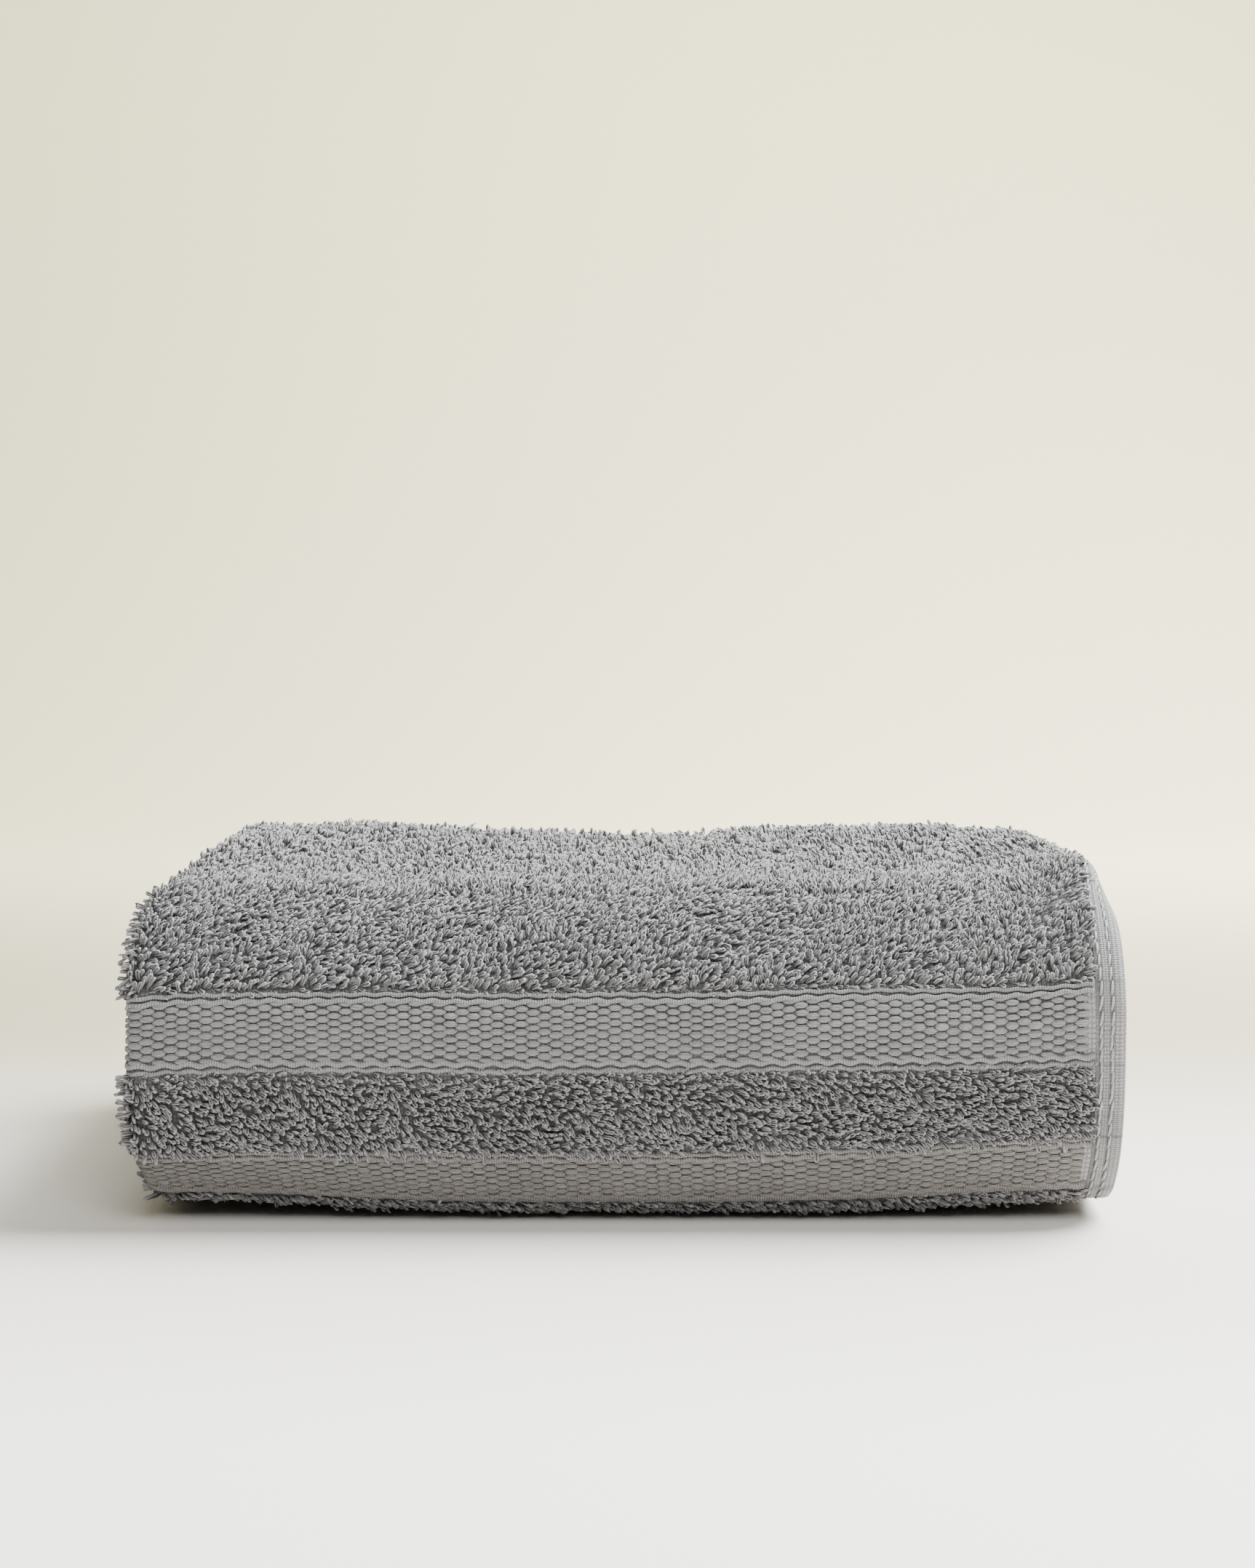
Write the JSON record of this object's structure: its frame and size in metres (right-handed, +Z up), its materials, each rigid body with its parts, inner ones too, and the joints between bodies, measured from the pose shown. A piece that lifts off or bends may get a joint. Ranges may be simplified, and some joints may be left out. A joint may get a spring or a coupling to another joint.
{
  "type": "folded hand towel",
  "caption": "Folded cotton terry hand towel with woven borders and stitched side hems, lying flat with its long fold to the front.",
  "frame": {"origin": "under the middle of the towel's box, on the surface that it lies on", "axes": "+Z up, -Y to the front, where the long fold shows, +X along the fold to the side hems on the right"},
  "size_m": [0.253, 0.1778, 0.0863],
  "materials": {
    "terry": "grey looped cotton pile, matte",
    "weave": "grey woven cotton border and hem, matte"
  },
  "bodies": {
    "root": {"towel": "terry"}
  },
  "joints": []
}
